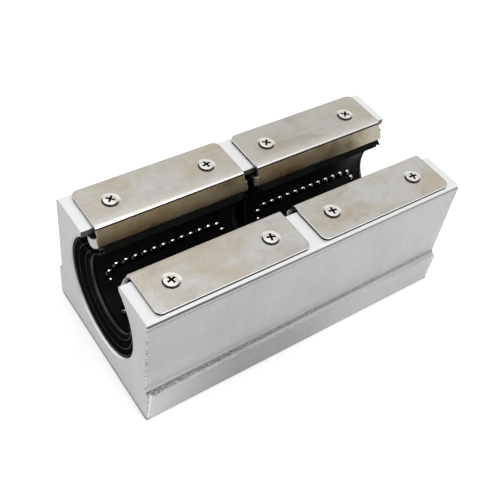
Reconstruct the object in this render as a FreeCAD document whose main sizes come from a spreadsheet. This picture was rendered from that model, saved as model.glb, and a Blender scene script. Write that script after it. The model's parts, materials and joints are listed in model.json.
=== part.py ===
import FreeCAD, Part
import Sketcher
import math
import os

# Twin open bearing block for a 20 mm shaft. The slot faces up, X runs along the shaft
# and the origin is the middle of the flat mounting face. Millimetres and degrees.

os.makedirs("parts", exist_ok=True)
doc = FreeCAD.newDocument("BearingBlock")
Vec = FreeCAD.Vector

# ---------------------------------------------------------------- driving dimensions

sheet = doc.addObject("Spreadsheet::Sheet", "Sizes")

driving = {
    # shaft and ball circuits
    "shaft_radius": 10, "ball_size": 2.778, "ball_room": 0.05, "ball_slack": 0.03,
    "race_gap": 0.012, "track_circuits": 5, "track_island": 2.4, "track_end": 2.8,
    "track_angle": 2.84, "cage_skin": 0.47,
    # bushings: sleeve, cage and lip seals
    "bush_length": 42.6, "bush_space": 4.4, "sleeve_wall": 3.19, "sleeve_edge": 0.5,
    "sleeve_angle": 2.15, "cage_room": 0.4, "cage_gap": 0.04, "cage_angle": 2.64,
    "ledge_room": 0.29, "ledge_angle": 3.65,
    "seal_depth": 1.0, "seat_step": 1.16, "seal_gap": 0.02, "seal_heel": 0.35,
    "lip_room": 0.5, "lip_reach": 0.4, "lip_edge": 0.15, "lip_width": 0.25, "lip_root": 1.2,
    # housing: one length of extruded bar
    "bore_axis": 23, "base_width": 48, "base_height": 10.8, "step_out": 1.5,
    "step_rise": 2.0, "bar_edge": 0.9, "slot_width": 18.8, "slot_wall": 2.052,
    "slot_edge": 0.3, "end_room": 3.2, "bore_mouth": 0.4, "press_gap": 0.02,
    "mount_row_x": 70, "mount_row_y": 35, "mount_drill": 5.0, "mount_depth": 14,
    "mount_mouth": 0.3,
    # end seals, one in each mouth of the bore
    "wiper_recess": 0.6, "wiper_gap": 0.05, "wiper_room": 1.0, "wiper_edge": 0.25,
    "wiper_foot": 0.6, "wiper_slope": 0.3, "wiper_rim": 0.45, "rim_round": 0.1,
    "ridge_width": 0.5, "ridge_height": 0.22, "ridge_start": 0.8, "ridge_step": 2.0,
    "wiper_angle": 11.9,
    # cover plates: folded strip
    "plate_sheet": 1.0, "plate_inset": 1.0, "plate_corner": 1.8, "plate_notch": 1.2,
    "fold_room": 1.45, "fold_radius": 1.2, "flange_lean": 22, "flange_reach": 5.4,
    "tab_gap": 0.25, "tab_drop": 2.8, "tab_room": 0.754, "tab_corner": 1.0,
    # cover screws: M2.5, low raised countersunk head
    "screw_pitch": 27.75, "screw_edge": 6.9, "screw_head": 2.15, "screw_rim": 0.46,
    "screw_dome": 0.62, "rim_curve": 0.42, "screw_length": 5.5, "screw_tip": 0.35,
    "screw_room": 0.02, "shank_room": 0.1, "sink_room": 0.03, "sink_depth": 0.83,
    "thread_room": 0.5, "cross_arm": 1.2, "cross_half": 0.3, "cross_depth": 0.75,
}

derived = {
    # radii, from the shaft outwards
    "ball_radius": "ball_size / 2",
    "groove_radius": "ball_radius + ball_room",
    "row_radius": "shaft_radius + ball_radius",
    "cage_bore": "shaft_radius + cage_room",
    "sleeve_bore": "row_radius + ball_radius + race_gap",
    "cage_radius": "sleeve_bore - cage_gap",
    "sleeve_radius": "sleeve_bore + sleeve_wall",
    "bore_radius": "sleeve_radius + press_gap",
    # housing
    "half_pitch": "(bush_length + bush_space) / 2",
    "block_length": "2 * (bush_length + end_room) + bush_space",
    "half_base": "base_width / 2",
    "half_body": "half_base - step_out",
    "half_foot": "half_base - bar_edge",
    "half_top": "half_body - bar_edge",
    "half_slot": "slot_width / 2",
    "slot_lip": "half_slot + slot_edge",
    "slot_foot": "bore_axis + sqrt(bore_radius ^ 2 - half_slot ^ 2)",
    "body_height": "slot_foot + slot_wall",
    "slot_low": "body_height - slot_edge",
    "edge_low": "body_height - bar_edge",
    "step_top": "base_height + step_rise",
    "cove_centre": "half_body + (step_out ^ 2 + step_rise ^ 2) / (2 * step_out)",
    "mount_x": "mount_row_x / 2",
    "mount_y": "mount_row_y / 2",
    "mount_radius": "mount_drill / 2",
    # cover plates
    "plate_top": "body_height + plate_sheet",
    "plate_edge": "half_body - plate_inset",
    "lean_sin": "sin(flange_lean * 1deg)",
    "lean_cos": "cos(flange_lean * 1deg)",
    "fold_line": "half_slot - fold_room",
    "fold_tangent": "fold_radius * tan((90 - flange_lean) / 2 * 1deg)",
    "fold_y1": "fold_line + fold_tangent",
    "fold_y2": "fold_line - fold_tangent * lean_sin",
    "fold_z2": "plate_top - fold_tangent * lean_cos",
    "fold_z0": "plate_top - fold_radius",
    "fold_y3": "fold_y2 + plate_sheet * lean_cos",
    "fold_z3": "fold_z2 - plate_sheet * lean_sin",
    "toe_y": "fold_line - flange_reach * lean_sin",
    "toe_z": "plate_top - flange_reach * lean_cos",
    "heel_y": "toe_y + plate_sheet * lean_cos",
    "heel_z": "toe_z - plate_sheet * lean_sin",
    "half_bush": "bush_length / 2",
    "tab_inner": "half_bush + tab_gap",
    "half_flange": "tab_inner + plate_sheet",
    "plate_length": "2 * (half_flange - plate_notch)",
    "tab_height": "flange_reach - tab_drop",
    "tab_y": "fold_line - tab_drop * lean_sin",
    "tab_rise": "plate_top - tab_drop * lean_cos - bore_axis",
    "tab_along": "tab_y * lean_cos - tab_rise * lean_sin",
    "tab_span": "sqrt(bore_radius ^ 2 + tab_along ^ 2 - tab_y ^ 2 - tab_rise ^ 2)",
    "tab_reach": "tab_span - tab_along - tab_room",
    "tab_bend": "half_flange - fold_radius",
    "tab_far_y": "toe_y + tab_reach * lean_cos",
    "tab_far_z": "toe_z - tab_reach * lean_sin",
    # where the ring shapes stop beside the slot, in degrees from straight up
    "toe_opening": "atan(toe_y / (toe_z - bore_axis)) / 1deg",
    "heel_opening": "atan(heel_y / (heel_z - bore_axis)) / 1deg",
    "tab_opening": "atan(tab_far_y / (tab_far_z - bore_axis)) / 1deg",
    "cage_opening": "toe_opening + cage_angle",
    "sleeve_opening": "heel_opening + sleeve_angle",
    "ledge_opening": "heel_opening + ledge_angle",
    "wiper_opening": "tab_opening + wiper_angle",
    # sleeve, cage and lip seals
    "seal_seat": "sleeve_bore + seat_step",
    "seat_start": "half_bush - seal_depth",
    "bevel_start": "half_bush - sleeve_edge",
    "bevel_radius": "sleeve_radius - sleeve_edge",
    "cage_ledge": "sqrt(toe_y ^ 2 + (toe_z - bore_axis) ^ 2) - ledge_room",
    "lip_radius": "shaft_radius + lip_room",
    "seal_start": "seat_start + seal_gap",
    "seal_radius": "seal_seat - seal_gap",
    "seal_bore": "lip_radius + seal_heel",
    "seal_shoulder": "lip_radius + lip_root",
    "lip_front": "half_bush + lip_reach",
    "lip_inner": "lip_front - lip_edge",
    "lip_crest": "lip_radius + lip_width",
    "lip_heel": "seal_start + seal_heel",
    # ball tracks: the plane of the loop is tipped, so the return run is further out
    "return_lift": "cage_room + cage_skin + ball_room",
    "track_radius": "track_island / 2 + groove_radius",
    "track_tilt": "asin(return_lift / (2 * track_radius)) / 1deg",
    "half_rows": "track_radius * cos(track_tilt * 1deg)",
    "row_lift": "sqrt(row_radius ^ 2 - half_rows ^ 2)",
    "track_height": "row_lift + return_lift / 2",
    "track_length": "bush_length - 2 * (seal_depth + track_end)",
    "straight_half": "track_length / 2 - track_radius",
    "track_loop": "4 * straight_half + 2 * pi * track_radius",
    "track_balls": "floor(track_loop / (ball_size + ball_slack))",
    "track_reach": "asin((track_radius + groove_radius) / track_height) / 1deg",
    "first_track": "ledge_opening + track_angle + track_reach",
    "tracks_sweep": "360 - 2 * first_track",
    "row_lag": "asin(half_rows / row_radius) / 1deg",
    "first_row": "first_track - row_lag",
    "first_row_y": "row_radius * sin(first_row * 1deg)",
    "first_row_z": "row_radius * cos(first_row * 1deg)",
    "first_track_y": "track_height * sin(first_track * 1deg)",
    "first_track_z": "track_height * cos(first_track * 1deg)",
    # end seals
    "wiper_back": "half_pitch + half_bush + wiper_gap",
    "wiper_front": "block_length / 2 - wiper_recess",
    "wiper_step": "wiper_back + lip_reach",
    "wiper_low": "wiper_step + wiper_edge",
    "wiper_bore": "shaft_radius + wiper_room",
    "wiper_heel": "seal_shoulder + wiper_foot",
    "wiper_knee": "wiper_heel + wiper_slope",
    "rim_radius": "sleeve_radius - wiper_rim",
    "cone_top": "rim_radius - rim_round",
    "cone_end": "wiper_front - rim_round",
    "cone_slope": "(cone_end - wiper_low) / (cone_top - wiper_bore)",
    "ridge_a": "wiper_bore + ridge_start",
    "ridge_b": "ridge_a + ridge_step",
    "ridge_a1": "ridge_a - ridge_width / 2",
    "ridge_a2": "ridge_a + ridge_width / 2",
    "ridge_b1": "ridge_b - ridge_width / 2",
    "ridge_b2": "ridge_b + ridge_width / 2",
    "cone_a1": "wiper_low + (ridge_a1 - wiper_bore) * cone_slope",
    "cone_a2": "wiper_low + (ridge_a2 - wiper_bore) * cone_slope",
    "cone_b1": "wiper_low + (ridge_b1 - wiper_bore) * cone_slope",
    "cone_b2": "wiper_low + (ridge_b2 - wiper_bore) * cone_slope",
    "crest_a": "wiper_low + (ridge_a - wiper_bore) * cone_slope + ridge_height",
    "crest_b": "wiper_low + (ridge_b - wiper_bore) * cone_slope + ridge_height",
    # cover screws, with heights measured from the top of the plate
    "half_screws": "screw_pitch / 2",
    "screw_near": "half_pitch - half_screws",
    "screw_far": "half_pitch + half_screws",
    "screw_line": "plate_edge - screw_edge",
    "hole_radius": "screw_head + sink_room - sink_depth",
    "screw_shank": "hole_radius - shank_room",
    "screw_neck": "screw_head - screw_shank",
    "thread_radius": "screw_shank + screw_room",
    "thread_depth": "screw_length - plate_sheet + thread_room",
    "tip_radius": "screw_shank - screw_tip",
    "tip_start": "screw_length - screw_tip",
    "rim_low": "screw_rim - rim_curve",
    "rim_flat": "screw_head - rim_curve",
    "dome_rise": "screw_dome - screw_rim",
    "dome_radius": "(rim_flat ^ 2 + dome_rise ^ 2) / (2 * dome_rise)",
    "dome_centre": "screw_dome - dome_radius",
}

for row, (name, value) in enumerate(list(driving.items()) + list(derived.items()), start=1):
    sheet.set("A%d" % row, name)
    sheet.set("B%d" % row, str(value) if name in driving else "=" + value)
    sheet.setAlias("B%d" % row, name)
    doc.recompute([sheet])


def size(name):
    """The value of a named size; a leading minus turns its sign."""
    if name == "0":
        return 0.0
    if name.startswith("-"):
        return -float(sheet.get(name[1:]))
    return float(sheet.get(name))


def linked(name):
    """The same size as an expression for a property or a constraint."""
    return name.replace("-", "-Sizes.") if name.startswith("-") else "Sizes." + name


def bind(thing, **sizes):
    """Ties properties to named sizes."""
    for prop, name in sizes.items():
        thing.setExpression(prop, linked(name))


# ---------------------------------------------------------------- sketch and body helpers

def new_body(label):
    body = doc.addObject("PartDesign::Body", label)
    body.Label = label
    return body


def origin_of(body, role):
    return next(item for item in body.Origin.OriginFeatures if item.Role == role)


def new_sketch(body, name, role, turn=0.0, **offset):
    """A sketch on one of the body's own planes, moved along its axes and turned about X."""
    sketch = body.newObject("Sketcher::SketchObject", name)
    sketch.AttachmentSupport = [(origin_of(body, role), "")]
    sketch.MapMode = "FlatFace"
    place = Vec(*(size(offset.get(axis, "0")) for axis in "xyz"))
    sketch.AttachmentOffset = FreeCAD.Placement(place, FreeCAD.Rotation(Vec(1, 0, 0), turn))
    for axis, named in offset.items():
        sketch.setExpression("AttachmentOffset.Base." + axis, linked(named))
    return sketch


def pin_point(sketch, shape, end, u, v):
    """Fixes a point of a sketch at two named sizes from the origin."""
    for kind, named in (("DistanceX", u), ("DistanceY", v)):
        number = sketch.addConstraint(Sketcher.Constraint(kind, -1, 1, shape, end, size(named)))
        if named != "0":
            sketch.setExpression("Constraints[%d]" % number, linked(named))


def circle(sketch, u, v, radius):
    centre = Vec(size(u), size(v), 0)
    shape = sketch.addGeometry(Part.Circle(centre, Vec(0, 0, 1), size(radius)))
    pin_point(sketch, shape, 3, u, v)
    number = sketch.addConstraint(Sketcher.Constraint("Radius", shape, size(radius)))
    sketch.setExpression("Constraints[%d]" % number, linked(radius))


def outline(sketch, points, arcs=None):
    """A closed outline through named points. An arc is {start: (centre u, centre v, way)},
    with way 1 for anticlockwise and -1 for clockwise."""
    arcs = arcs or {}
    count = len(points)
    for start, (u, v) in enumerate(points):
        after = points[(start + 1) % count]
        here = Vec(size(u), size(v), 0)
        there = Vec(size(after[0]), size(after[1]), 0)
        if start not in arcs:
            shape = sketch.addGeometry(Part.LineSegment(here, there))
            pin_point(sketch, shape, 1, u, v)
            pin_point(sketch, shape, 2, *after)
            continue
        centre_u, centre_v, way = arcs[start]
        centre = Vec(size(centre_u), size(centre_v), 0)
        angles = [math.atan2(p.y - centre.y, p.x - centre.x) for p in (here, there)][::way]
        if angles[1] < angles[0]:
            angles[1] += 2 * math.pi
        whole = Part.Circle(centre, Vec(0, 0, 1), here.distanceToPoint(centre))
        shape = sketch.addGeometry(Part.ArcOfCircle(whole, *angles))
        first, last = (1, 2)[::way]
        pin_point(sketch, shape, first, u, v)
        pin_point(sketch, shape, last, *after)
        chord = there - here
        kind, named = ("DistanceX", centre_u) if abs(chord.y) > abs(chord.x) else ("DistanceY", centre_v)
        number = sketch.addConstraint(Sketcher.Constraint(kind, -1, 1, shape, 3, size(named)))
        if named != "0":
            sketch.setExpression("Constraints[%d]" % number, linked(named))


def feature(body, kind, name, profile, **sizes):
    made = body.newObject("PartDesign::" + kind, name)
    made.Profile = profile
    bind(made, **sizes)
    return made


def pad_both_ways(body, name, profile, length):
    pad = feature(body, "Pad", name, profile, Length=length)
    pad.Midplane = True
    return pad


def edges_where(solid, test):
    """Names of the edges whose every sampled point passes the test."""
    names = []
    for number, edge in enumerate(solid.Shape.Edges, start=1):
        samples = edge.discretize(5)
        if all(test(point) for point in samples):
            names.append("Edge%d" % number)
    return names


def dress(body, kind, name, base, test, amount):
    """A Fillet or Chamfer on the edges that pass the test."""
    doc.recompute()
    made = body.newObject("PartDesign::" + kind, name)
    made.Base = (base, edges_where(base, test))
    bind(made, **{"Radius" if kind == "Fillet" else "Size": amount})
    doc.recompute()
    return made


def ring(body, name, points, opening, arcs=None):
    """Turns a profile (x, radius) about the shaft line, leaving the slot open at the top."""
    sketch = new_sketch(body, name + "Profile", "XZ_Plane")
    below = [(x, "-" + radius) for x, radius in points]
    outline(sketch, below, arcs)
    turned = body.newObject("PartDesign::Revolution", name)
    turned.Profile = sketch
    turned.ReferenceAxis = (origin_of(body, "X_Axis"), [""])
    turned.Midplane = True
    turned.setExpression("Angle", "360 - 2 * Sizes." + opening)
    return turned


def near(value, wanted, room=0.01):
    return abs(value - wanted) < room


# ---------------------------------------------------------------- housing

def make_housing():
    body = new_body("housing")
    right = [("half_foot", "0"), ("half_base", "bar_edge"), ("half_base", "base_height"),
             ("half_body", "step_top"), ("half_body", "edge_low"), ("half_top", "body_height"),
             ("slot_lip", "body_height"), ("half_slot", "slot_low"), ("half_slot", "slot_foot")]
    left = [("-" + y, z) for y, z in reversed(right)]
    section = new_sketch(body, "BarSection", "YZ_Plane")
    outline(section, right + left,
            {2: ("cove_centre", "step_top", -1), 8: ("0", "bore_axis", -1),
             14: ("-cove_centre", "step_top", -1)})
    pad_both_ways(body, "Bar", section, "block_length")

    mounts = new_sketch(body, "MountHoles", "XY_Plane")
    for x in ("mount_x", "-mount_x"):
        for y in ("mount_y", "-mount_y"):
            circle(mounts, x, y, "mount_radius")
    drilled = feature(body, "Pocket", "MountDrilling", mounts, Length="mount_depth")
    drilled.Reversed = True

    threads = new_sketch(body, "CoverThreads", "XY_Plane", z="body_height")
    for x in ("screw_near", "screw_far", "-screw_near", "-screw_far"):
        for y in ("screw_line", "-screw_line"):
            circle(threads, x, y, "thread_radius")
    tapped = feature(body, "Pocket", "CoverTapping", threads, Length="thread_depth")

    mouths = dress(body, "Chamfer", "MountMouths", tapped,
                   lambda p: near(p.z, 0) and near(math.hypot(
                       abs(p.x) - size("mount_x"), abs(p.y) - size("mount_y")),
                       size("mount_radius")),
                   "mount_mouth")
    dress(body, "Chamfer", "BoreMouths", mouths,
          lambda p: near(abs(p.x), size("block_length") / 2) and near(math.hypot(
              p.y, p.z - size("bore_axis")), size("bore_radius")),
          "bore_mouth")
    return body


# ---------------------------------------------------------------- bushings

def cut_tracks(body, base):
    """Sweeps a round groove along one ball loop and repeats it round the shaft line."""
    tilt = size("track_tilt") - size("first_track")
    loop = new_sketch(body, "TrackLoop", "XY_Plane", turn=tilt, y="first_track_y",
                      z="first_track_z")
    loop.setExpression("AttachmentOffset.Rotation.Angle",
                       "(Sizes.track_tilt - Sizes.first_track) * 1deg")
    half, bend = "straight_half", "track_radius"
    outline(loop, [("-" + half, "-" + bend), (half, "-" + bend), (half, bend), ("-" + half, bend)],
            {1: (half, "0", 1), 3: ("-" + half, "0", 1)})
    start = new_sketch(body, "TrackSection", "YZ_Plane", z="-straight_half")
    circle(start, "first_row_y", "first_row_z", "groove_radius")
    track = body.newObject("PartDesign::SubtractivePipe", "Track")
    track.Profile = start
    track.Spine = (loop, [])
    doc.recompute()
    tracks = body.newObject("PartDesign::PolarPattern", "Tracks")
    tracks.Originals = [track]
    tracks.Axis = (origin_of(body, "X_Axis"), [""])
    tracks.Reversed = True
    bind(tracks, Angle="tracks_sweep", Occurrences="track_circuits")
    body.Tip = tracks
    return tracks


def make_sleeve(label):
    body = new_body(label)
    half = [("bevel_start", "sleeve_radius"), ("half_bush", "bevel_radius"),
            ("half_bush", "seal_seat"), ("seat_start", "seal_seat"), ("seat_start", "sleeve_bore")]
    other = [("-" + x, radius) for x, radius in reversed(half)]
    shell = ring(body, "Shell", half + other, "sleeve_opening")
    cut_tracks(body, shell)
    return body


def make_cage(label):
    body = new_body(label)
    inner = [("-seat_start", "cage_bore"), ("-seat_start", "cage_ledge"),
             ("seat_start", "cage_ledge"), ("seat_start", "cage_bore")]
    outer = [("-seat_start", "cage_bore"), ("-seat_start", "cage_radius"),
             ("seat_start", "cage_radius"), ("seat_start", "cage_bore")]
    ring(body, "InnerWall", inner, "cage_opening")
    wall = ring(body, "OuterWall", outer, "ledge_opening")
    cut_tracks(body, wall)
    return body


def make_lip_seal(label):
    body = new_body(label)
    lip = [("seal_start", "cage_ledge"), ("half_bush", "cage_ledge"),
           ("half_bush", "seal_shoulder"), ("lip_front", "lip_crest"),
           ("lip_inner", "lip_radius"), ("lip_heel", "seal_bore"), ("seal_start", "seal_bore")]
    disc = [("seal_start", "seal_radius"), ("half_bush", "seal_radius"),
            ("half_bush", "seal_shoulder"), ("seal_start", "seal_shoulder")]
    ring(body, "Lip", lip, "cage_opening")
    ring(body, "Disc", disc, "ledge_opening")
    return body


def loop_point(along):
    """The place on the ball loop, in the plane of the loop, at a distance along it."""
    straight = 2 * size("straight_half")
    bend = size("track_radius")
    turn = math.pi * bend
    along %= 2 * (straight + turn)
    side = -1 if along < straight + turn else 1
    along %= straight + turn
    if along < straight:
        flat = (along - straight / 2, -bend)
    else:
        angle = (along - straight) / bend - math.pi / 2
        flat = (straight / 2 + bend * math.cos(angle), bend * math.sin(angle))
    return Vec(-side * flat[0], -side * flat[1], 0)


def make_balls(label, circuit):
    """The balls of one circuit, a group of loose spheres in their track."""
    loop = size("track_loop")
    count = int(size("track_balls"))
    spacing = size("tracks_sweep") / (size("track_circuits") - 1)
    around = size("first_track") + spacing * circuit
    lift = FreeCAD.Placement(Vec(0, 0, size("track_height")),
                             FreeCAD.Rotation(Vec(1, 0, 0), size("track_tilt")))
    turn = FreeCAD.Placement(Vec(0, 0, 0), FreeCAD.Rotation(Vec(1, 0, 0), -around))
    place = turn.multiply(lift)
    balls = [Part.makeSphere(size("ball_radius"), place.multVec(loop_point(n * loop / count)))
             for n in range(count)]
    group = doc.addObject("Part::Feature", label)
    group.Label = label
    group.Shape = Part.makeCompound(balls)
    return group


# ---------------------------------------------------------------- end seals

def make_wiper(label):
    body = new_body(label)
    points = [("wiper_back", "sleeve_radius"), ("wiper_front", "sleeve_radius"),
              ("wiper_front", "rim_radius"), ("cone_end", "cone_top"),
              ("cone_b2", "ridge_b2"), ("crest_b", "ridge_b"), ("cone_b1", "ridge_b1"),
              ("cone_a2", "ridge_a2"), ("crest_a", "ridge_a"), ("cone_a1", "ridge_a1"),
              ("wiper_low", "wiper_bore"), ("wiper_step", "wiper_bore"),
              ("wiper_step", "wiper_heel"), ("wiper_back", "wiper_knee")]
    ring(body, "Wiper", points, "wiper_opening")
    return body


# ---------------------------------------------------------------- cover plates

def make_plate(label):
    """Folded cover: flat on the land, flange in the slot, a tab across each end of a bushing."""
    body = new_body(label)
    fold = new_sketch(body, "FoldSection", "YZ_Plane")
    outline(fold, [("plate_edge", "body_height"), ("plate_edge", "plate_top"),
                   ("fold_y1", "plate_top"), ("fold_y2", "fold_z2"), ("toe_y", "toe_z"),
                   ("heel_y", "heel_z"), ("fold_y3", "fold_z3"), ("fold_y1", "body_height")],
            {2: ("fold_y1", "fold_z0", 1), 6: ("fold_y1", "fold_z0", -1)})
    pad_both_ways(body, "FoldedStrip", fold, "plate_length")

    hook = new_sketch(body, "HookSection", "XY_Plane", turn=-size("flange_lean"),
                      y="toe_y", z="toe_z")
    hook.setExpression("AttachmentOffset.Rotation.Angle", "-Sizes.flange_lean * 1deg")
    right = [("tab_bend", "0"), ("half_flange", "fold_radius"), ("half_flange", "tab_reach"),
             ("tab_inner", "tab_reach"), ("tab_inner", "fold_radius"), ("tab_bend", "plate_sheet")]
    left = [("-" + x, y) for x, y in reversed(right)]
    outline(hook, right + left,
            {0: ("tab_bend", "fold_radius", 1), 4: ("tab_bend", "fold_radius", -1),
             6: ("-tab_bend", "fold_radius", -1), 10: ("-tab_bend", "fold_radius", 1)})
    feature(body, "Pad", "HookedFlange", hook, Length="tab_height")

    holes = new_sketch(body, "ScrewHoles", "XY_Plane", z="plate_top")
    circle(holes, "half_screws", "screw_line", "hole_radius")
    circle(holes, "-half_screws", "screw_line", "hole_radius")
    drilled = feature(body, "Pocket", "ScrewDrilling", holes, Length="fold_radius")
    sunk = dress(body, "Chamfer", "Countersinks", drilled,
                 lambda p: near(p.z, size("plate_top")) and near(math.hypot(
                     abs(p.x) - size("half_screws"), p.y - size("screw_line")),
                     size("hole_radius")),
                 "sink_depth")
    rounded = dress(body, "Fillet", "PlateCorners", sunk,
                    lambda p: near(abs(p.x), size("plate_length") / 2)
                    and near(p.y, size("plate_edge")),
                    "plate_corner")
    dress(body, "Chamfer", "TabCorners", rounded,
          lambda p: near(p.y, size("tab_far_y")) and near(p.z, size("tab_far_z")),
          "tab_corner")
    return body


# ---------------------------------------------------------------- cover screws

def make_screw(label):
    body = new_body(label)
    turned = new_sketch(body, "ScrewProfile", "XZ_Plane")
    outline(turned, [("0", "-screw_length"), ("tip_radius", "-screw_length"),
                     ("screw_shank", "-tip_start"), ("screw_shank", "-screw_neck"),
                     ("screw_head", "0"), ("screw_head", "rim_low"), ("rim_flat", "screw_rim"),
                     ("0", "screw_dome")],
            {5: ("rim_flat", "rim_low", 1), 6: ("0", "dome_centre", 1)})
    shaft = body.newObject("PartDesign::Revolution", "Turned")
    shaft.Profile = turned
    shaft.ReferenceAxis = (origin_of(body, "Z_Axis"), [""])
    shaft.Angle = 360
    cross = new_sketch(body, "CrossOutline", "XY_Plane", z="screw_dome")
    arm, half = "cross_arm", "cross_half"
    corners = [(arm, "-" + half), (arm, half), (half, half), (half, arm), ("-" + half, arm),
               ("-" + half, half), ("-" + arm, half), ("-" + arm, "-" + half),
               ("-" + half, "-" + half), ("-" + half, "-" + arm), (half, "-" + arm),
               (half, "-" + half)]
    outline(cross, corners)
    feature(body, "Pocket", "CrossRecess", cross, Length="cross_depth")
    return body


# ---------------------------------------------------------------- assembly

def put(thing, x="0", y="0", z="0", angle=0):
    """Places a sub-part, turned about its own upright line first."""
    thing.Placement = FreeCAD.Placement(Vec(size(x), size(y), size(z)),
                                        FreeCAD.Rotation(Vec(0, 0, 1), angle))
    for name, named in (("x", x), ("y", y), ("z", z)):
        if named != "0":
            thing.setExpression("Placement.Base." + name, linked(named))
    nodes.append(thing)


nodes = []
put(make_housing())

for end, centre in (("near", "-half_pitch"), ("far", "half_pitch")):
    outwards = 180 if end == "near" else 0
    put(make_sleeve("bushing_sleeve_" + end), centre, z="bore_axis")
    put(make_cage("ball_cage_" + end), centre, z="bore_axis")
    put(make_lip_seal("lip_seal_%s_outer" % end), centre, z="bore_axis", angle=outwards)
    put(make_lip_seal("lip_seal_%s_inner" % end), centre, z="bore_axis", angle=180 - outwards)
    for circuit in range(int(size("track_circuits"))):
        put(make_balls("balls_%s_%d" % (end, circuit + 1), circuit), centre, z="bore_axis")
    put(make_wiper("end_seal_" + end), z="bore_axis", angle=outwards)

# every cross stands where its screw came tight
crosses = {"front_near": (16, 73), "front_far": (80, 83), "back_near": (48, 11),
           "back_far": (53, 50)}
for side, flip, line in (("front", 180, "-screw_line"), ("back", 0, "screw_line")):
    for end, centre, along in (("near", "-half_pitch", ("-screw_far", "-screw_near")),
                               ("far", "half_pitch", ("screw_near", "screw_far"))):
        plate = side + "_" + end
        put(make_plate("cover_plate_" + plate), centre, angle=flip)
        for number in (0, 1):
            put(make_screw("cover_screw_%s_%d" % (plate, number + 1)), along[number], line,
                "plate_top", angle=crosses[plate][number])

doc.recompute()

for item in doc.Objects:
    for flag in ("Invalid", "Error"):
        if flag in item.State:
            raise RuntimeError("%s is %s" % (item.Name, flag))
for node in nodes:
    shape = node.Shape
    if shape.isNull() or not shape.isValid():
        raise RuntimeError("%s has no sound shape" % node.Label)
    shape.exportStep("parts/%s.step" % node.Label)
    print(node.Label, len(shape.Solids), round(shape.Volume, 2))
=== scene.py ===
import json
import math

import bpy
import bmesh
from mathutils import Matrix, Vector


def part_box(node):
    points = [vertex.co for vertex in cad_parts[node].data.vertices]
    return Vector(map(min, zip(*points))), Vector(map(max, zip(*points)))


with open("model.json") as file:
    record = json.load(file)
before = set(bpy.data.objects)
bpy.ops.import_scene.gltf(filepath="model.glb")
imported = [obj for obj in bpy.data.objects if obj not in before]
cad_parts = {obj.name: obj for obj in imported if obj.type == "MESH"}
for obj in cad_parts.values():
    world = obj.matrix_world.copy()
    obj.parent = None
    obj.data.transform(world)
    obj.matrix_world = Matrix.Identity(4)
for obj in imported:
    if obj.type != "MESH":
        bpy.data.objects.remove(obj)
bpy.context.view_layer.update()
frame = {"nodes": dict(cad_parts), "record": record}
nodes = frame["nodes"]
mm = 0.001
print("block loaded,", len(nodes), "pieces")


# shader helpers

def newFinish(name):
    finish = bpy.data.materials.new(name)
    finish.use_nodes = True
    tree = finish.node_tree
    tree.nodes.clear()
    out = tree.nodes.new("ShaderNodeOutputMaterial")
    shader = tree.nodes.new("ShaderNodeBsdfPrincipled")
    tree.links.new(shader.outputs[0], out.inputs[0])
    place = tree.nodes.new("ShaderNodeTexCoord")
    return finish, tree, shader, place.outputs["Object"]


def stretched(tree, place, scale):
    mapping = tree.nodes.new("ShaderNodeMapping")
    mapping.inputs["Scale"].default_value = scale
    tree.links.new(place, mapping.inputs[0])
    return mapping.outputs[0]


def noise(tree, place, scale, detail=4, rough=0.55, warp=0.0):
    node = tree.nodes.new("ShaderNodeTexNoise")
    node.inputs["Scale"].default_value = scale
    node.inputs["Detail"].default_value = detail
    node.inputs["Roughness"].default_value = rough
    node.inputs["Distortion"].default_value = warp
    tree.links.new(place, node.inputs["Vector"])
    return node.outputs["Fac"]


def sums(tree, kind, a, b=None):
    node = tree.nodes.new("ShaderNodeMath")
    node.operation = kind
    for socket, value in zip(node.inputs, (a, b)):
        if value is None:
            continue
        if isinstance(value, (int, float)):
            socket.default_value = value
        else:
            tree.links.new(value, socket)
    return node.outputs[0]


def plus(tree, a, b):
    return sums(tree, "ADD", a, b)


def less(tree, a, b):
    return sums(tree, "SUBTRACT", a, b)


def times(tree, a, b):
    return sums(tree, "MULTIPLY", a, b)


def unsigned(tree, value):
    return sums(tree, "ABSOLUTE", value)


def signOf(tree, value):
    return sums(tree, "SIGN", value)


def either(tree, a, b):
    return sums(tree, "MAXIMUM", a, b)


def outOf(tree, mask):
    return less(tree, 1.0, mask)


def mixed(tree, fac, a, b):
    node = tree.nodes.new("ShaderNodeMix")
    node.data_type = "RGBA"
    for socket, value in ((node.inputs[0], fac), (node.inputs[6], a), (node.inputs[7], b)):
        if isinstance(value, (int, float)):
            socket.default_value = value
        elif isinstance(value, tuple):
            socket.default_value = (*value, 1)
        else:
            tree.links.new(value, socket)
    return node.outputs[2]


def between(tree, value, low, high, toLow=0.0, toHigh=1.0):
    node = tree.nodes.new("ShaderNodeMapRange")
    for socket, number in zip(node.inputs[1:5], (low, high, toLow, toHigh)):
        socket.default_value = number
    tree.links.new(value, node.inputs[0])
    return node.outputs[0]


# a named span, measured from a place, with what it runs to
def ramp(tree, value, span, base=0.0):
    low, high, *ends = span
    return between(tree, value, base + low, base + high, *ends)


# 1 within half of the middle, falling to 0 over the soft width outside it
def band(tree, value, middle, half, soft):
    off = unsigned(tree, less(tree, value, middle))
    return between(tree, off, half, half + soft, 1.0, 0.0)


def both(tree, *masks):
    product = masks[0]
    for mask in masks[1:]:
        product = times(tree, product, mask)
    return product


def scaled(colour, by):
    return tuple(c * by for c in colour)


# one noise for each name: scale (three numbers stretch it), detail, roughness, warp
def textures(tree, place, table):
    made = {}
    for name, (scale, *rest) in table.items():
        if isinstance(scale, tuple):
            made[name] = noise(tree, stretched(tree, place, scale), 1.0, *rest)
        else:
            made[name] = noise(tree, place, scale, *rest)
    return made


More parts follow.
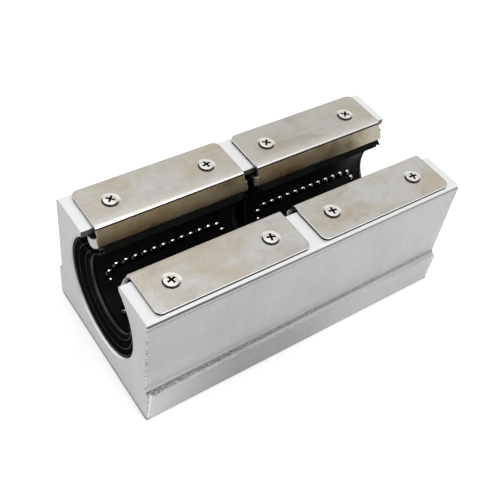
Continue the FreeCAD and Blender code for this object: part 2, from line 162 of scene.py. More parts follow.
def bumped(tree, shader, height, strength, depth, edge=None):
    node = tree.nodes.new("ShaderNodeBump")
    node.inputs["Strength"].default_value = strength
    node.inputs["Distance"].default_value = depth
    tree.links.new(height, node.inputs["Height"])
    if edge:
        tree.links.new(edge, node.inputs["Normal"])
    tree.links.new(node.outputs[0], shader.inputs["Normal"])


noiseSpan = (0.3, 0.7)


def roughened(tree, shader, value, look):
    smooth, coarse = look["roughSpread"]
    tree.links.new(between(tree, value, *noiseSpan, look["rough"] - smooth, look["rough"] + coarse),
                   shader.inputs["Roughness"])


# the normal with its corners rounded, and how far it agrees with the flat one there
def eased(tree, width):
    corner = tree.nodes.new("ShaderNodeBevel")
    corner.samples = 6
    corner.inputs["Radius"].default_value = width
    flat = tree.nodes.new("ShaderNodeNewGeometry")
    dot = tree.nodes.new("ShaderNodeVectorMath")
    dot.operation = "DOT_PRODUCT"
    tree.links.new(corner.outputs[0], dot.inputs[0])
    tree.links.new(flat.outputs["Normal"], dot.inputs[1])
    return corner.outputs[0], dot.outputs["Value"]


def axes(tree, place):
    node = tree.nodes.new("ShaderNodeSeparateXYZ")
    tree.links.new(place, node.inputs[0])
    return node.outputs


def facing(tree):
    node = tree.nodes.new("ShaderNodeNewGeometry")
    return axes(tree, node.outputs["Normal"])


# distance from a line, from two offsets across it
def reach(tree, a, b):
    return sums(tree, "SQRT", plus(tree, times(tree, a, a), times(tree, b, b)))


# places that the finishes share, read from the solids

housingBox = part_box("housing")
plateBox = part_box("cover_plate_back_far")
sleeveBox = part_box("bushing_sleeve_far")
screwBoxes = [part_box("cover_screw_back_far_%d" % number) for number in (1, 2)]


def middle(box, axis):
    return (box[0][axis] + box[1][axis]) / 2


blockEnd = housingBox[1][0]
baseSide = housingBox[1][1]
landTop = housingBox[1][2]
plateTop = plateBox[1][2]
plateMiddle = middle(plateBox, 0)
boreRadius = (sleeveBox[1][1] - sleeveBox[0][1]) / 2
shaftLine = sleeveBox[0][2] + boreRadius
screwLine = middle(screwBoxes[0], 1)
screwReach = abs(middle(screwBoxes[1], 0) - middle(screwBoxes[0], 0)) / 2
farWay = (0.67, 0.74)


# offsets from the nearest screw, along and across the block
def fromScrew(tree, x, y):
    along = less(tree, x, times(tree, signOf(tree, x), plateMiddle))
    along = less(tree, along, times(tree, signOf(tree, along), screwReach))
    across = less(tree, y, times(tree, signOf(tree, y), screwLine))
    away = plus(tree, times(tree, along, farWay[0]), times(tree, across, farWay[1]))
    return along, across, away


# housing: drawn bar with sawn ends and milled lands

housingLook = {
    "side": (0.49, 0.49, 0.492), "sideFar": (0.575, 0.575, 0.58), "end": (0.575, 0.575, 0.57),
    "land": (0.95, 0.955, 0.95), "frontEnd": (0.92, 0.93, 0.93), "backEnd": (0.95, 0.955, 0.95),
    "chamfer": (0.12, 0.12, 0.12), "chamferFar": (0.36, 0.36, 0.36), "bright": (0.80, 0.80, 0.80),
    "dull": (0.30, 0.30, 0.30), "stepShadeAndSpeckle": (0.11, 0.11, 0.11), "slot": (0.14, 0.14, 0.14),
    "mouth": (0.98, 0.98, 0.97), "line": (0.10, 0.10, 0.10), "burrAndHighlight": (0.96, 0.96, 0.96),
    "metal": 0.5, "landMetal": 0.3, "rough": 0.42, "roughSpread": (0.06, 0.10),
    "easing": 0.25 * mm, "bump": (0.4, 0.00008), "speckBump": 0.6,
    "textures": {"grain": ((2600, 2600, 900), 3, 0.65), "speck": (2100, 2, 0.7), "cloud": (70, 5, 0.6),
                 "patch": (260, 4, 0.6), "streak": ((700, 700, 40), 3, 0.6),
                 "breaks": ((500, 500, 1500), 2, 0.6)},
    "uprightTurn": (0.3, 0.2), "endTurn": (0.8, 0.9), "landTurn": (0.62, 0.68), "boreTurn": (0.95, 0.9),
    "lowTurn": (0.45, 0.62), "cornerTurn": (0.995, 0.9), "chamferTurn": (0.707, 0.05, 0.05),
    "landBand": (-1.3 * mm, -1.0 * mm), "outside": (21.5 * mm, 22.2 * mm),
    "glowEnd": -0.3, "glowHeight": (8 * mm, 22 * mm, 0.45, 0.0),
    "dimHeight": (11.5 * mm, 10.5 * mm), "dimLength": (-14 * mm, 8 * mm, 24 * mm), "dimShare": 0.85,
    "clouds": (0.35, 0.7, 0.0, 0.22), "patches": (0.52, 0.72, 0.0, 0.08), "streaks": (0.5, 0.75, 0.0, 0.10),
    "ragged": (0.35, 0.6, 0.35, 1.0), "breakSpan": (0.45, 0.55),
    "stepFoot": 11.3 * mm, "stepHead": 12.2 * mm, "stepBand": (0.0, 0.40 * mm, 0.25 * mm),
    "stepFade": (0.0, 1.0, 0.95, 0.6), "stepRise": 0.2 * mm,
    "scoreDrop": 1.95 * mm, "scoreWidth": (0.10 * mm, 0.12 * mm), "scoreFade": (0.2, 1.0, 0.8, 0.1),
    "faintDrop": 1.00 * mm, "faintWidth": (0.06 * mm, 0.08 * mm), "faintShare": 0.4,
    "boreBand": (0.5 * mm, 0.05 * mm), "mouthBand": (-1.2 * mm, -1.0 * mm),
    "slotWidth": (10.0 * mm, 9.8 * mm), "slotReach": (15.4 * mm, 15.8 * mm),
    "landSides": (-5 * mm, 5 * mm), "landStart": (5 * mm, 8 * mm),
    "chamferTop": (-0.48 * mm, -0.62 * mm), "chamferFoot": (-1.4 * mm, -1.2 * mm),
    "chamferFade": (0.15, 0.75),
    "bareBore": (0.9 * mm, 0.1 * mm), "bareTop": (-0.95 * mm, -0.92 * mm),
    "bodySide": (21.9 * mm, 22.0 * mm), "footSide": (-0.55 * mm, -0.45 * mm),
    "cornerEnd": (-0.40 * mm, -0.30 * mm), "cornerTop": (-0.8 * mm, -1.0 * mm), "cornerShare": 0.5,
    "cornerGlintSlant": 0.06, "cornerGlintIn": 0.1 * mm, "cornerGlintWidth": (0.14 * mm, 0.15 * mm),
    "cornerGlintBreaks": (0.35, 0.55, 0.25, 0.8),
    "footHeight": (1.35 * mm, 1.15 * mm), "footBreaks": (0.35, 0.6, 0.6, 1.0),
    "footFade": (0.0, 1.0, 0.75, 0.4),
    "chipEnd": (-1.0 * mm, -0.8 * mm), "chipHeight": (1.7 * mm, 1.5 * mm), "chipShare": 0.85}


def housingFinish():
    look = housingLook
    finish, tree, shader, place = newFinish("housingAluminium")
    x, y, z = axes(tree, place)
    nx, _, nz = facing(tree)
    endward = unsigned(tree, x)
    sideward = unsigned(tree, y)
    endTurn = unsigned(tree, nx)
    corner, turn = eased(tree, look["easing"])
    made = textures(tree, place, look["textures"])
    upright = ramp(tree, unsigned(tree, nz), look["uprightTurn"])
    isEnd = ramp(tree, endTurn, look["endTurn"])
    notEnd = outOf(tree, isEnd)
    isLand = both(tree, ramp(tree, nz, look["landTurn"]), ramp(tree, z, look["landBand"], landTop))
    outside = ramp(tree, sideward, look["outside"])
    alongBar = between(tree, x, -blockEnd, blockEnd)

    # plain faces: painted light, brighter toward the far end and low down at the near end; duller in the
    # middle of the base
    side = mixed(tree, alongBar, look["side"], look["sideFar"])
    glow = both(tree, between(tree, x, -blockEnd, look["glowEnd"] * blockEnd, 1.0, 0.0),
                ramp(tree, z, look["glowHeight"]))
    side = mixed(tree, glow, side, look["bright"])
    dim = both(tree, ramp(tree, z, look["dimHeight"]), band(tree, x, *look["dimLength"]), look["dimShare"])
    side = mixed(tree, dim, side, look["dull"])
    tone = mixed(tree, isEnd, side, look["end"])
    for name, span, colour in (("cloud", "clouds", "dull"), ("patch", "patches", "bright"),
                               ("streak", "streaks", "dull")):
        tone = mixed(tree, ramp(tree, made[name], look[span]), tone, look[colour])

    # dark band in the step, partly a rough unblasted band, partly painted shade for the cove there, and the
    # drawn lines near the top
    ragged = ramp(tree, made["speck"], look["ragged"])
    drift = plus(tree, look["stepFoot"], times(tree, alongBar, look["stepHead"] - look["stepFoot"]))
    stepShadeAndSpeckle = both(tree, band(tree, less(tree, z, drift), *look["stepBand"]), outside, notEnd, ragged,
                 ramp(tree, alongBar, look["stepFade"]))
    tone = mixed(tree, stepShadeAndSpeckle, tone, look["stepShadeAndSpeckle"])
    score = both(tree, band(tree, z, landTop - look["scoreDrop"], *look["scoreWidth"]), ragged,
                 ramp(tree, alongBar, look["scoreFade"]))
    faint = both(tree, band(tree, z, landTop - look["faintDrop"], *look["faintWidth"]), ragged,
                 look["faintShare"])
    lines = both(tree, either(tree, score, faint), outside, notEnd)
    tone = mixed(tree, lines, tone, look["line"])

    # bore, its mouth, and the walls of the slot: painted shade in the slot and deep in the bore, painted
    # light on the up-facing lower half of the mouth
    fromLine = reach(tree, y, less(tree, z, shaftLine))
    inBore = both(tree, band(tree, fromLine, boreRadius, *look["boreBand"]),
                  ramp(tree, endTurn, look["boreTurn"]))
    atMouth = ramp(tree, endward, look["mouthBand"], blockEnd)
    mouth = mixed(tree, ramp(tree, nz, look["lowTurn"]), look["end"], look["mouth"])
    tone = mixed(tree, inBore, tone, mixed(tree, atMouth, look["slot"], mouth))
    inSlot = both(tree, ramp(tree, sideward, look["slotWidth"]), ramp(tree, fromLine, look["slotReach"]),
                  upright, notEnd)
    tone = mixed(tree, inSlot, tone, look["slot"])

    # lands, slightly darker at the near front end, and the chamfer below them, with painted shade on its
    # lower part, lighter toward the far end
    ends = mixed(tree, ramp(tree, y, look["landSides"]), look["frontEnd"], look["backEnd"])
    land = mixed(tree, ramp(tree, x, look["landStart"], -blockEnd), ends, look["land"])
    tone = mixed(tree, isLand, tone, land)
    chamfer = both(tree, band(tree, nz, *look["chamferTurn"]), notEnd, outside,
                   ramp(tree, z, look["chamferTop"], landTop), ramp(tree, z, look["chamferFoot"], landTop))
    shade = mixed(tree, ramp(tree, alongBar, look["chamferFade"]), look["chamfer"], look["chamferFar"])
    tone = mixed(tree, chamfer, tone, shade)

    # burrs and painted highlights on the corners, broken, and left off in the bore and along the top
    bare = plus(tree, band(tree, fromLine, boreRadius, *look["bareBore"]),
                both(tree, notEnd, ramp(tree, z, look["bareTop"], landTop)))
    onCorner = both(tree, ramp(tree, turn, look["cornerTurn"]), outOf(tree, sums(tree, "MINIMUM", 1.0, bare)))
    broken = ramp(tree, made["breaks"], look["breakSpan"])
    tone = mixed(tree, both(tree, onCorner, broken), tone, look["burrAndHighlight"])
    bodyCorner = both(tree, ramp(tree, sideward, look["bodySide"]),
                      ramp(tree, z, (0.0, look["stepRise"]), look["stepHead"]))
    baseCorner = ramp(tree, sideward, look["footSide"], baseSide)
    atCorner = both(tree, either(tree, bodyCorner, baseCorner), upright,
                    ramp(tree, endward, look["cornerEnd"], blockEnd),
                    ramp(tree, z, look["cornerTop"], landTop))
    # worn corners get burr and painted highlight, nicked ones a dark nick
    worn = both(tree, atCorner, notEnd, broken, look["cornerShare"])
    nicked = both(tree, atCorner, outOf(tree, broken), look["cornerShare"])
    tone = mixed(tree, worn, tone, look["burrAndHighlight"])
    tone = mixed(tree, nicked, tone, look["line"])

    # painted highlight up the corner of the base, painted shade along its foot, and a chip at the foot of the
    # corner
    slant = plus(tree, endward, times(tree, z, look["cornerGlintSlant"]))
    cornerGlint = both(tree, baseCorner, notEnd,
                  band(tree, slant, blockEnd - look["cornerGlintIn"], *look["cornerGlintWidth"]),
                  ramp(tree, made["patch"], look["cornerGlintBreaks"]))
    tone = mixed(tree, cornerGlint, tone, look["burrAndHighlight"])
    # painted shade along the foot of the base, broken by speck noise
    foot = both(tree, ramp(tree, z, look["footHeight"]), upright, ramp(tree, made["speck"], look["footBreaks"]),
                ramp(tree, alongBar, look["footFade"]))
    tone = mixed(tree, foot, tone, look["line"])
    chip = both(tree, baseCorner, ramp(tree, endward, look["chipEnd"], blockEnd),
                ramp(tree, z, look["chipHeight"]), look["chipShare"])
    tone = mixed(tree, chip, tone, look["line"])
    tree.links.new(tone, shader.inputs["Base Color"])
    metal = between(tree, isLand, 0.0, 1.0, look["metal"], look["landMetal"])
    tree.links.new(metal, shader.inputs["Metallic"])
    roughened(tree, shader, made["grain"], look)
    height = plus(tree, made["grain"], times(tree, made["speck"], look["speckBump"]))
    bumped(tree, shader, height, *look["bump"], corner)
    return finish


# cover plates: rolled steel, stained warm and cool, pale on the sheared edges, with painted highlights on the
# fold, the top edges and round the screws, and painted shade in the slot and along the edges

plateLook = {
    "cool": (0.67, 0.66, 0.64), "warm": (0.61, 0.55, 0.455), "stain": (0.46, 0.42, 0.35),
    "fleck": (0.50, 0.36, 0.20), "fold": (0.98, 0.97, 0.93), "flange": (0.44, 0.37, 0.25),
    "flangeFar": (0.31, 0.26, 0.175), "flangePale": (0.52, 0.49, 0.41), "rim": (0.16, 0.16, 0.165),
    "shearedAndHighlight": (0.97, 0.97, 0.96), "strip": (0.42, 0.41, 0.39), "paintedShade": (0.012, 0.011, 0.010),
    "metal": 1.0, "rough": 0.28, "roughSpread": (0.05, 0.08),
    "easing": 0.35 * mm, "bump": (0.10, 0.00004), "mottleBump": 0.6,
    "textures": {"rolled": ((120, 1500, 1500), 4, 0.6), "tint": ((50, 75, 75), 4, 0.55, 0.6),
                 "stain": ((110, 160, 160), 6, 0.62, 0.8), "mottle": (700, 5, 0.7, 0.5),
                 "wisp": ((60, 420, 420), 5, 0.6, 1.2)},
    "tints": (0.42, 0.60), "stains": (0.48, 0.70, 0.0, 0.8), "mottles": (0.42, 0.66, 0.0, 0.22),
    "wisps": (0.56, 0.68, 0.0, 0.35),
    "farEnd": (0.0, 8 * mm), "backSide": (0.0, 1 * mm), "farStain": (8 * mm, 16 * mm), "farShare": 0.30,
    "dimpleHighlightRing": (2.70 * mm, 2.45 * mm), "dimpleHighlightFar": (0.3 * mm, 1.3 * mm),
    "sheen": (11.0 * mm, 8.8 * mm, 0.0, 0.3), "slotSide": (9.2 * mm, 8.9 * mm),
    "flangeTurn": (0.60, 0.50), "acrossTurn": (0.75, 0.85), "flangeLength": (-30 * mm, 30 * mm),
    "flangeStains": (0.42, 0.66, 0.0, 0.7), "flangeFlecks": (0.50, 0.66, 0.0, 0.5),
    "paleEnd": (0.78, 0.88), "paleShare": 0.75,
    "lengthTurn": (0.3, 0.2), "foldTurn": (0.86, 0.04, 0.03), "underTurn": (0.56, 0.09, 0.06),
    "uprightTurn": (0.3, 0.2), "underEdge": (-0.33 * mm, -0.42 * mm),
    "endTurn": (0.8, 0.9), "stripEnd": (21.5 * mm, 21.4 * mm), "tabEdge": (21.4 * mm, 21.5 * mm),
    "tabHeight": (-1.15 * mm, -1.25 * mm), "topTurn": (0.96, 0.99), "topBand": (-0.05 * mm, -0.02 * mm),
    "brightTurn": (0.995, 0.975), "brightShare": 0.35, "rimTurn": (0.96, 0.91), "rimShare": 0.9}


def plateFinish():
    look = plateLook
    finish, tree, shader, place = newFinish("coverSteel")
    x, y, z = axes(tree, place)
    nx, ny, nz = facing(tree)
    corner, turn = eased(tree, look["easing"])
    made = textures(tree, place, look["textures"])
    tone = mixed(tree, ramp(tree, made["tint"], look["tints"]), look["cool"], look["warm"])
    for name, span, colour in (("stain", "stains", "stain"), ("mottle", "mottles", "stain"),
                               ("wisp", "wisps", "cool")):
        tone = mixed(tree, ramp(tree, made[name], look[span]), tone, look[colour])
    isBack = ramp(tree, y, look["backSide"])
    farBack = both(tree, ramp(tree, x, look["farEnd"]), isBack,
                   band(tree, x, plateMiddle, *look["farStain"]), look["farShare"])
    tone = mixed(tree, farBack, tone, look["stain"])
    along, across, away = fromScrew(tree, x, y)
    # painted highlight on the far side of the dimple round each screw
    dimpleHighlight = both(tree, ramp(tree, reach(tree, along, across), look["dimpleHighlightRing"]),
                   ramp(tree, away, look["dimpleHighlightFar"]))
    tone = mixed(tree, dimpleHighlight, tone, look["fold"])
    sheen = both(tree, ramp(tree, y, look["sheen"]), isBack)
    tone = mixed(tree, sheen, tone, look["fold"])
    endTurn = unsigned(tree, nx)
    fromMiddle = unsigned(tree, less(tree, unsigned(tree, x), plateMiddle))
    inSlot = ramp(tree, unsigned(tree, y), look["slotSide"])

    # flange in the slot, a darker copy of the plate steel as painted shade, and the fold above it
    onFlange = both(tree, ramp(tree, nz, look["flangeTurn"]),
                    ramp(tree, unsigned(tree, ny), look["acrossTurn"]), inSlot)
    # flange tone: painted shade, darkest toward the far end, paler at the far tip; its stains and flecks are
    # the steel's own
    flange = mixed(tree, ramp(tree, x, look["flangeLength"]), look["flange"], look["flangeFar"])
    flange = mixed(tree, ramp(tree, made["stain"], look["flangeStains"]), flange, look["flangePale"])
    flange = mixed(tree, ramp(tree, made["mottle"], look["flangeFlecks"]), flange, look["fleck"])
    paleEnd = between(tree, x, *(share * blockEnd for share in look["paleEnd"]))
    flange = mixed(tree, both(tree, paleEnd, look["paleShare"]), flange, look["flangePale"])
    tone = mixed(tree, onFlange, tone, flange)
    lengthwise = ramp(tree, endTurn, look["lengthTurn"])
    # painted highlight along the fold
    onFold = both(tree, band(tree, nz, *look["foldTurn"]), inSlot, lengthwise)
    tone = mixed(tree, onFold, tone, look["fold"])
    # painted shade on the line under the fold
    underFold = both(tree, band(tree, nz, *look["underTurn"]), inSlot, lengthwise)
    tone = mixed(tree, underFold, tone, look["paintedShade"])

    # sheared edges, pale above painted shade at their foot, the ends of the strip and its tabs, and painted
    # highlight and painted shade along the top edges
    upright = both(tree, ramp(tree, unsigned(tree, nz), look["uprightTurn"]), outOf(tree, inSlot))
    tone = mixed(tree, upright, tone, look["shearedAndHighlight"])
    # painted shade on the lower part of the sheared edges
    tone = mixed(tree, both(tree, upright, ramp(tree, z, look["underEdge"], plateTop)), tone, look["paintedShade"])
    stripEnd = both(tree, ramp(tree, endTurn, look["endTurn"]), inSlot,
                    ramp(tree, fromMiddle, look["stripEnd"]))
    tabEdge = both(tree, lengthwise, ramp(tree, fromMiddle, look["tabEdge"]))
    tone = mixed(tree, either(tree, stripEnd, tabEdge), tone, look["strip"])
    onTab = both(tree, ramp(tree, z, look["tabHeight"], plateTop), outOf(tree, onFlange),
                 outOf(tree, underFold))
    tone = mixed(tree, onTab, tone, look["strip"])
    # lit: painted highlight along the top edges
    onTop = both(tree, ramp(tree, nz, look["topTurn"]), ramp(tree, z, look["topBand"], plateTop))
    lit = both(tree, ramp(tree, turn, look["brightTurn"]), onTop, look["brightShare"])
    tone = mixed(tree, lit, tone, look["shearedAndHighlight"])
    # rim: painted shade along the top edges
    rim = both(tree, ramp(tree, turn, look["rimTurn"]), onTop, look["rimShare"])
    tone = mixed(tree, rim, tone, look["rim"])
    tree.links.new(tone, shader.inputs["Base Color"])
    shader.inputs["Metallic"].default_value = look["metal"]
    roughened(tree, shader, made["stain"], look)
    height = plus(tree, made["rolled"], times(tree, made["mottle"], look["mottleBump"]))
    bumped(tree, shader, height, *look["bump"], corner)
    return finish


# cover screws: cream plating, with a painted highlight on the far side of the head, painted shade on its near
# rim and side walls and in the cross

screwLook = {
    "tone": (0.93, 0.92, 0.89), "worn": (0.70, 0.68, 0.62), "crescent": (0.99, 0.96, 0.88),
    "line": (0.30, 0.29, 0.27), "deep": (0.02, 0.018, 0.015), "wall": (0.05, 0.04, 0.035),
    "metal": 0.8, "rough": 0.24, "roughSpread": (0.06, 0.1), "bump": (0.12, 0.00005),
    "textures": {"rub": (900, 4, 0.6), "shade": (420, 3, 0.6)},
    "rubs": (0.45, 0.66, 0.0, 0.6), "shades": (0.45, 0.6, 0.0, 0.3), "discShift": 0.95,
    "discEdge": (1.95 * mm, 2.05 * mm), "discLine": (1.93 * mm, 0.06 * mm, 0.06 * mm), "lineShare": 0.8,
    "rimReach": (1.84 * mm, 1.90 * mm), "rimNear": (0.0, -0.5 * mm), "wallTurn": (0.45, 0.25),
    "crossReach": (1.5 * mm, 1.3 * mm), "crossDepth": (0.42 * mm, 0.25 * mm)}


def screwFinish():
    look = screwLook
    finish, tree, shader, place = newFinish("screwPlating")
    x, y, z = axes(tree, place)
    nz = facing(tree)[2]
    made = textures(tree, place, look["textures"])
    along, across, away = fromScrew(tree, x, y)
    out = reach(tree, along, across)
    offset = reach(tree, plus(tree, along, farWay[0] * look["discShift"] * mm),
                   plus(tree, across, farWay[1] * look["discShift"] * mm))
    tone = mixed(tree, ramp(tree, made["rub"], look["rubs"]), look["tone"], look["worn"])
    tone = mixed(tree, ramp(tree, made["shade"], look["shades"]), tone, look["worn"])
    # crescent: painted highlight on the far side of the head
    tone = mixed(tree, ramp(tree, offset, look["discEdge"]), tone, look["crescent"])
    discLine = both(tree, band(tree, offset, *look["discLine"]), look["lineShare"])
    tone = mixed(tree, discLine, tone, look["line"])
    # painted shade on the near rim and on the side walls
    nearRim = both(tree, ramp(tree, out, look["rimReach"]), ramp(tree, away, look["rimNear"]))
    tone = mixed(tree, nearRim, tone, look["wall"])
    tone = mixed(tree, ramp(tree, nz, look["wallTurn"]), tone, look["wall"])
    # painted shade in the cross recess
    inCross = both(tree, ramp(tree, out, look["crossReach"]), ramp(tree, z, look["crossDepth"], plateTop))
    tone = mixed(tree, inCross, tone, look["deep"])
    tree.links.new(tone, shader.inputs["Base Color"])
    shader.inputs["Metallic"].default_value = look["metal"]
    roughened(tree, shader, made["rub"], look)
    bumped(tree, shader, made["rub"], *look["bump"])
    return finish


# bushing sleeves: dark ground steel

bearingLook = {"tone": (0.03, 0.03, 0.029), "darker": 0.8, "metal": 1.0, "rough": 0.35,
               "roughSpread": (0.05, 0.08), "bump": (0.1, 0.00003),
               "textures": {"ground": ((2200, 80, 80), 4, 0.6)}}


def bearingFinish():
    look = bearingLook
    finish, tree, shader, place = newFinish("bearingSteel")
    ground = textures(tree, place, look["textures"])["ground"]
    tone = mixed(tree, between(tree, ground, *noiseSpan), scaled(look["tone"], look["darker"]), look["tone"])
    tree.links.new(tone, shader.inputs["Base Color"])
    shader.inputs["Metallic"].default_value = look["metal"]
    roughened(tree, shader, ground, look)
    bumped(tree, shader, ground, *look["bump"])
    return finish


# ball cages: black plastic

cageLook = {"tone": (0.008, 0.008, 0.008), "paler": 1.8, "rough": 0.32, "roughSpread": (0.06, 0.1),
            "shine": 0.04, "bump": (0.2, 0.00004), "clouds": (0.4, 0.7, 0.0, 0.6),
            "textures": {"turned": ((2400, 60, 60), 4, 0.6), "cloud": (120, 4, 0.6)}}


def cageFinish():
    look = cageLook
    finish, tree, shader, place = newFinish("cagePlastic")
    made = textures(tree, place, look["textures"])
    tone = mixed(tree, ramp(tree, made["cloud"], look["clouds"]), look["tone"],
                 scaled(look["tone"], look["paler"]))
    tree.links.new(tone, shader.inputs["Base Color"])
    roughened(tree, shader, made["cloud"], look)
    shader.inputs["Specular IOR Level"].default_value = look["shine"]
    bumped(tree, shader, made["turned"], *look["bump"])
    return finish


# seals: black rubber, with painted highlights on the crest of each ridge and round the edges of the end face,
# broken by noise

sealLook = {
    "tone": (0.006, 0.006, 0.006), "dust": (0.020, 0.020, 0.0195), "crestHighlight": (0.22, 0.22, 0.215),
    "rough": 0.50, "roughSpread": (0.05, 0.12), "shine": 0.0, "easing": 0.20 * mm, "bump": (0.15, 0.00005),
    "textures": {"skin": (1800, 4, 0.6), "dust": (400, 6, 0.7), "crestBreaks": (160, 3, 0.6)},
    "crests": (10.6 * mm, 11.85 * mm, 13.85 * mm, 15.5 * mm), "crestWidth": (0.03 * mm, 0.10 * mm),
    "crestTurn": (0.93, 0.80), "outwards": (0.0, 1 * mm, 0.12, 1.0), "rubs": (0.3, 0.7, 0.2, 0.9),
    "dusts": (0.62, 0.78, 0.0, 0.6)}


def sealFinish():
    look = sealLook
    finish, tree, shader, place = newFinish("sealRubber")
    x, y, z = axes(tree, place)
    corner, turn = eased(tree, look["easing"])
    made = textures(tree, place, look["textures"])
    out = reach(tree, y, less(tree, z, shaftLine))
    # painted highlight lines on the ridges and end-face edges
    crestHighlight = ramp(tree, turn, look["crestTurn"])
    for radius in look["crests"]:
        crestHighlight = either(tree, crestHighlight, band(tree, out, radius, *look["crestWidth"]))
    outer = ramp(tree, unsigned(tree, x), look["outwards"], plateMiddle)
    crestHighlight = both(tree, crestHighlight, outer, ramp(tree, made["crestBreaks"], look["rubs"]))
    tone = mixed(tree, ramp(tree, made["dust"], look["dusts"]), look["tone"], look["dust"])
    tree.links.new(mixed(tree, crestHighlight, tone, look["crestHighlight"]), shader.inputs["Base Color"])
    roughened(tree, shader, made["dust"], look)
    shader.inputs["Specular IOR Level"].default_value = look["shine"]
    bumped(tree, shader, made["skin"], *look["bump"], corner)
    return finish


# balls: steel painted dark as shade all over but for a painted glint on the crown, greyer with a dimmer glint
# in the far block

ballLook = {
    "bare": (0.92, 0.92, 0.91), "glintFar": (0.62, 0.62, 0.61), "shadeAndGrain": (0.05, 0.05, 0.049),
    "shadeFar": (0.10, 0.10, 0.099), "metal": 1.0, "rough": 0.12, "roughSpread": (0.03, 0.05),
    "bump": (0.04, 0.00002), "textures": {"shadeAndGrain": (700, 3, 0.6)},
    "up": 0.80, "inwards": 0.60, "uneven": 0.04, "crown": (0.93, 0.995), "farEnd": (0.0, 8 * mm)}


def ballFinish():
    look = ballLook
    finish, tree, shader, place = newFinish("ballSteel")
    x, y, _ = axes(tree, place)
    _, ny, nz = facing(tree)
    shadeAndGrain = textures(tree, place, look["textures"])["shadeAndGrain"]
    # bare marks the painted glint on the crown; elsewhere the ball is painted dark as shade
    inwards = times(tree, ny, times(tree, signOf(tree, y), -look["inwards"]))
    crown = plus(tree, times(tree, nz, look["up"]), inwards)
    bare = ramp(tree, plus(tree, crown, times(tree, shadeAndGrain, look["uneven"])), look["crown"])
    farBlock = ramp(tree, x, look["farEnd"])
    tone = mixed(tree, bare, mixed(tree, farBlock, look["shadeAndGrain"], look["shadeFar"]),
                 mixed(tree, farBlock, look["bare"], look["glintFar"]))
    tree.links.new(tone, shader.inputs["Base Color"])
    shader.inputs["Metallic"].default_value = look["metal"]
    roughened(tree, shader, shadeAndGrain, look)
    bumped(tree, shader, shadeAndGrain, *look["bump"])
    return finish


finishes = {"housing_aluminium": housingFinish(), "cover_steel": plateFinish(), "screw_steel": screwFinish(),
            "bearing_steel": bearingFinish(), "cage_plastic": cageFinish(), "seal_rubber": sealFinish(),
            "ball_steel": ballFinish()}
for part in frame["record"]["subparts"]:
    mesh = nodes[part["node"]].data
    mesh.materials.clear()
    mesh.materials.append(finishes[part["material_slot"]])
print("finishes on")


# floor and light

studio = {"floor": 3.0, "floorTone": (0.80, 0.80, 0.80), "floorDim": 0.99, "floorDrop": 0.02 * mm,
          "floorNoise": (12, 3), "floorRough": 0.9, "floorShine": 0.1, "glow": 0.37, "sky": 0.48,
          "dark": (-0.47, -0.52, 0.71), "darkEdge": (0.75, 0.88, 0.80, 0.032),
          "top": {"at": (-0.10, 0.15, 0.60), "wide": 0.55, "power": 0.9},
          "key": {"at": (0.10, -0.35, 0.50), "wide": 0.30, "power": 0.8},
          "side": {"at": (-0.50, -0.35, 0.25), "wide": 0.40, "power": 0.35}}


def layFloor():
    look = studio
    sheet = bmesh.new()
    bmesh.ops.create_grid(sheet, x_segments=1, y_segments=1, size=look["floor"] / 2)
    mesh = bpy.data.meshes.new("floor")
    sheet.to_mesh(mesh)
    floor = bpy.data.objects.new("floor", mesh)
    bpy.context.scene.collection.objects.link(floor)
    floor.location.z = -look["floorDrop"]
    finish, tree, shader, place = newFinish("floorPaper")
    paper = noise(tree, place, *look["floorNoise"])
    dimmer = scaled(look["floorTone"], look["floorDim"])
    tone = mixed(tree, between(tree, paper, *noiseSpan), look["floorTone"], dimmer)
    shader.inputs["Roughness"].default_value = look["floorRough"]
    shader.inputs["Specular IOR Level"].default_value = look["floorShine"]
    seen = tree.nodes.new("ShaderNodeLightPath")
    straight = either(tree, seen.outputs["Is Camera Ray"], seen.outputs["Is Glossy Ray"])
    tree.links.new(mixed(tree, straight, tone, (1.0, 1.0, 1.0)), shader.inputs["Base Color"])
    shader.inputs["Emission Color"].default_value = (1, 1, 1, 1)
    tree.links.new(times(tree, straight, look["glow"]), shader.inputs["Emission Strength"])
    mesh.materials.append(finish)


def hangLight(name, look, aim=(0, 0, 0.02)):
    lamp = bpy.data.lights.new(name, "AREA")
    lamp.size = look["wide"]
    lamp.energy = look["power"]
    holder = bpy.data.objects.new(name, lamp)
    bpy.context.scene.collection.objects.link(holder)
    holder.location = look["at"]
    holder.rotation_euler = (Vector(look["at"]) - Vector(aim)).to_track_quat("Z", "Y").to_euler()


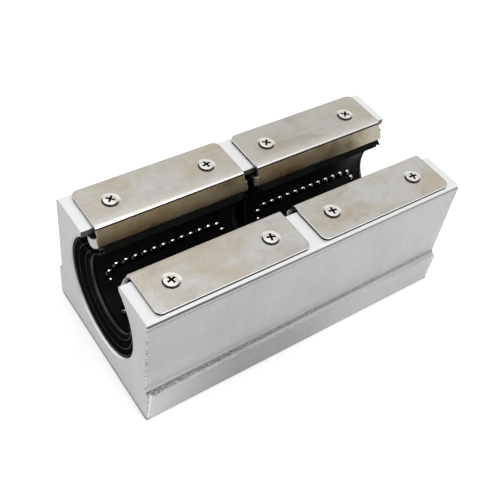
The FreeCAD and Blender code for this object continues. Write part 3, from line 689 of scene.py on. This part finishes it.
# white all round, with one dark side of the room for polished metal to pick up
def paintSky():
    look = studio
    world = bpy.data.worlds.new("studio")
    bpy.context.scene.world = world
    world.use_nodes = True
    tree = world.node_tree
    tree.nodes.clear()
    out = tree.nodes.new("ShaderNodeOutputWorld")
    sky = tree.nodes.new("ShaderNodeBackground")
    sky.inputs["Color"].default_value = (1, 1, 1, 1)
    seen = tree.nodes.new("ShaderNodeLightPath")
    way = tree.nodes.new("ShaderNodeTexCoord")
    dot = tree.nodes.new("ShaderNodeVectorMath")
    dot.operation = "DOT_PRODUCT"
    tree.links.new(way.outputs["Generated"], dot.inputs[0])
    dot.inputs[1].default_value = look["dark"]
    mirrored = ramp(tree, dot.outputs["Value"], look["darkEdge"])
    glossy = seen.outputs["Is Glossy Ray"]
    direct = between(tree, seen.outputs["Is Camera Ray"], 0, 1, look["sky"], 1.0)
    plain = times(tree, outOf(tree, glossy), direct)
    strength = plus(tree, plain, times(tree, mirrored, glossy))
    tree.links.new(strength, sky.inputs["Strength"])
    tree.links.new(sky.outputs[0], out.inputs[0])


layFloor()
hangLight("topBox", studio["top"])
hangLight("keyBox", studio["key"])
hangLight("sideBox", studio["side"])
paintSky()
print("floor and lights set")


# camera

cameraLook = {"at": (-101.0, -110.6, 177.5), "turn": -41.67, "tilt": 47.36, "roll": 9.85, "lens": 57.13,
              "sensor": 36, "clip": (0.01, 20)}


def setCamera():
    look = cameraLook
    data = bpy.data.cameras.new("camera")
    data.sensor_width = look["sensor"]
    data.lens = look["lens"]
    data.clip_start, data.clip_end = look["clip"]
    camera = bpy.data.objects.new("camera", data)
    bpy.context.scene.collection.objects.link(camera)
    turn = Matrix.Rotation(math.radians(look["turn"]), 4, "Z")
    tilt = Matrix.Rotation(math.radians(90 - look["tilt"]), 4, "X")
    roll = Matrix.Rotation(math.radians(look["roll"]), 4, "Z")
    camera.matrix_world = Matrix.Translation(Vector(look["at"]) * mm) @ turn @ tilt @ roll
    bpy.context.scene.camera = camera


setCamera()
bpy.context.scene.view_settings.view_transform = "Standard"
